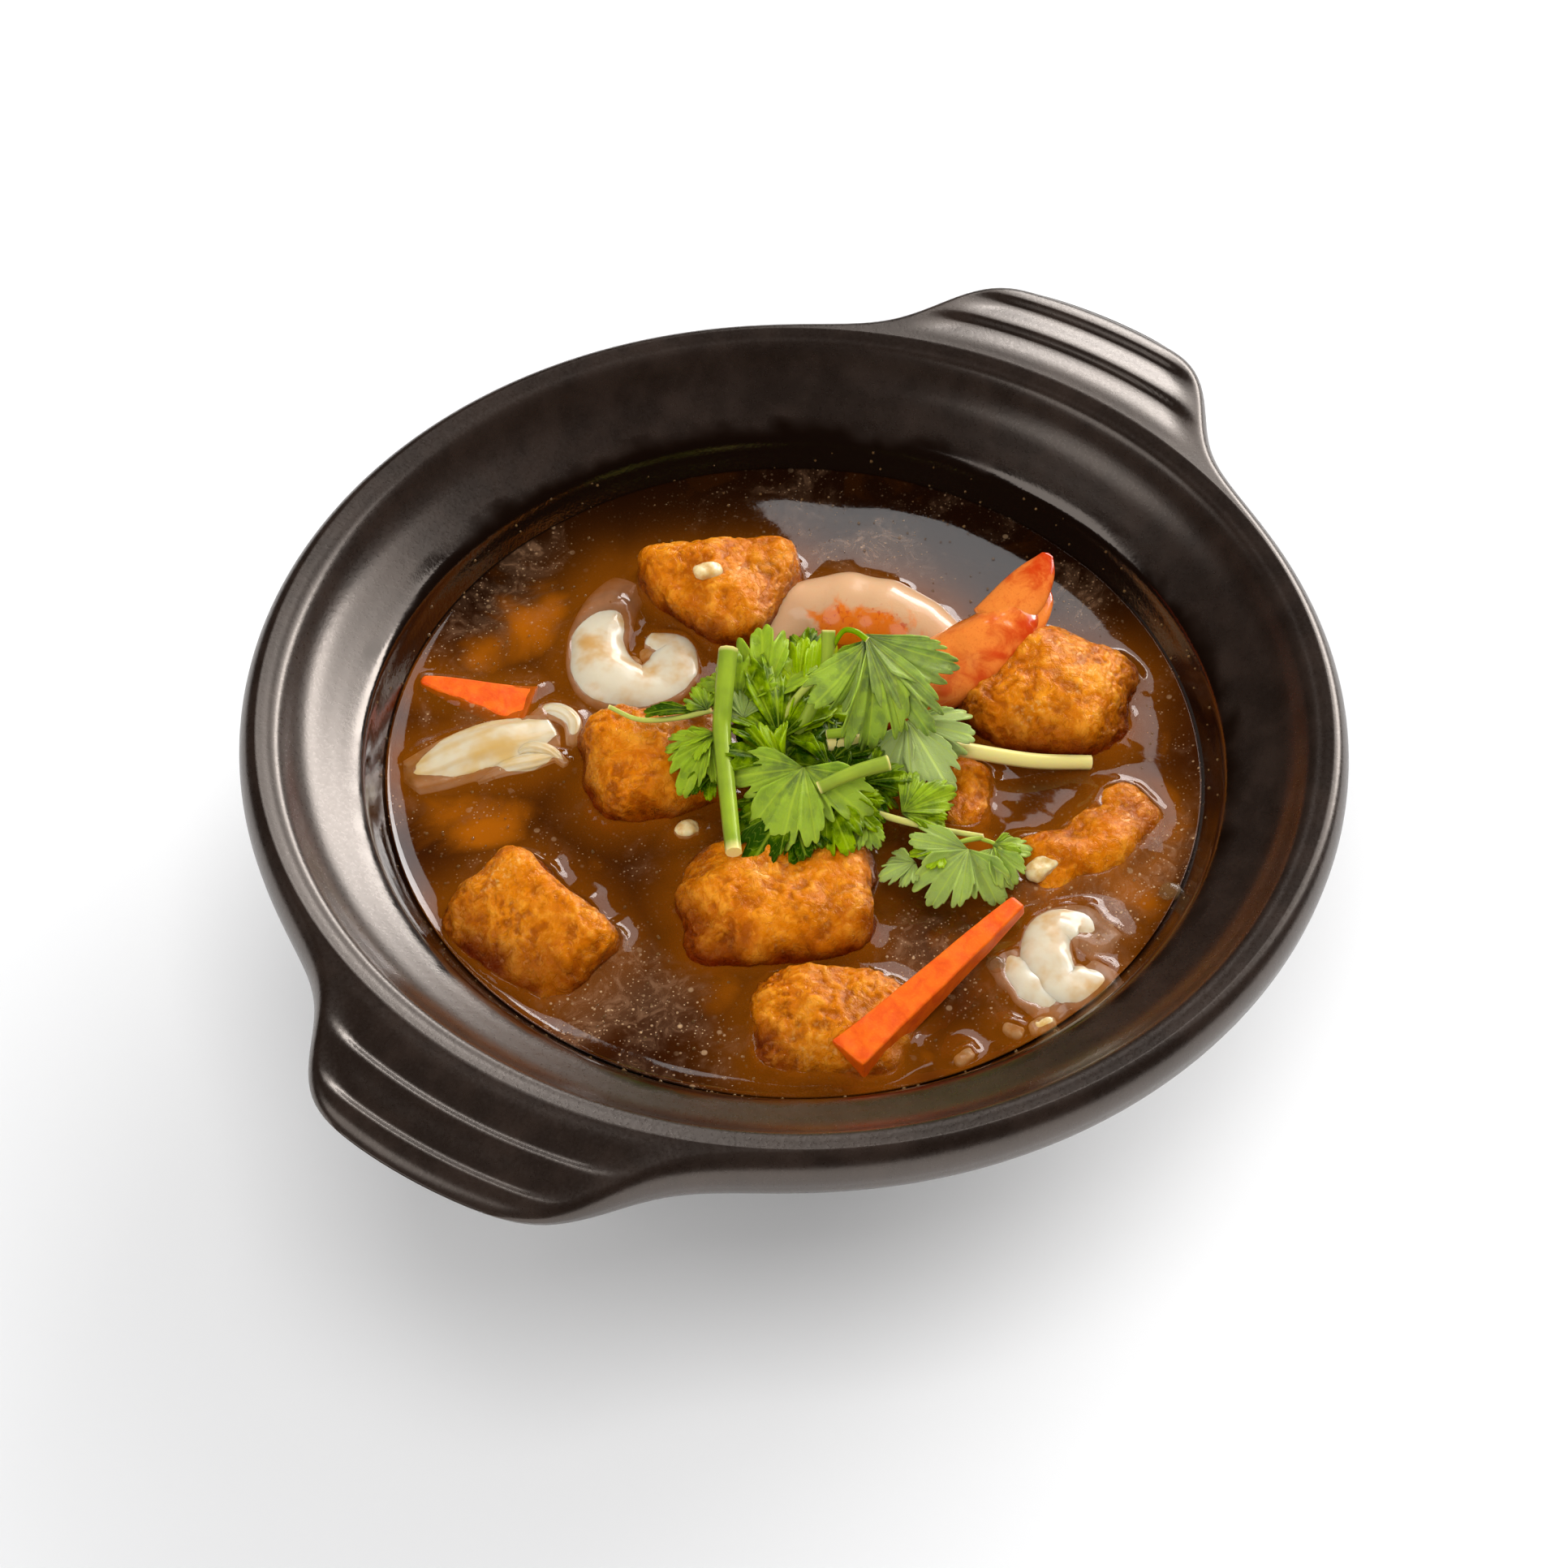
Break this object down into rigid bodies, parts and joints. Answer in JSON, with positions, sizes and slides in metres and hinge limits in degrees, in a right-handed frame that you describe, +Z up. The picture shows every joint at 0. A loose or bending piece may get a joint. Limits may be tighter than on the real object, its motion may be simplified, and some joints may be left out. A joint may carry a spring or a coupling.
{
  "type": "claypot tofu",
  "caption": "Round two-eared stoneware pot filled with brown broth, fried tofu blocks, shrimp, squid, cabbage, carrot and coriander; stands on a foot ring.",
  "frame": {"origin": "centre of the pot's foot ring, on the surface it stands on", "axes": "+X through the two ears, +Z up; the diner sits 59.6 degrees clockwise from -Y seen from above, which turns the layout of the food inside the pot"},
  "size_m": [0.245, 0.205, 0.074],
  "materials": {
    "stoneware": "matt dark brown-grey stoneware glaze, satin sheen with a fine orange-peel texture",
    "broth": "wet, murky brown liquid",
    "tofu": "wet golden-brown fried skin, wrinkled",
    "shrimp": "wet cooked flesh with orange-red tail shell",
    "squid": "wet, satin white",
    "cabbage": "wet, pale, fibrous",
    "carrot": "wet, cut orange root",
    "coriander": "fresh green leaf and pale green stalk"
  },
  "bodies": {
    "root": {"pot": "stoneware", "broth": "broth", "tofu_back": "tofu", "tofu_right": "tofu", "tofu_left": "tofu", "tofu_front": "tofu", "tofu_corner": "tofu", "tofu_near": "tofu", "tofu_sunk": "tofu", "tofu_small": "tofu", "tofu_middle": "tofu", "shrimp": "shrimp", "squid_left": "squid", "squid_right": "squid", "cabbage_stem": "cabbage", "cabbage_slice": "cabbage", "carrot_stick": "carrot", "carrot_slice": "carrot", "coriander": "coriander"}
  },
  "joints": []
}
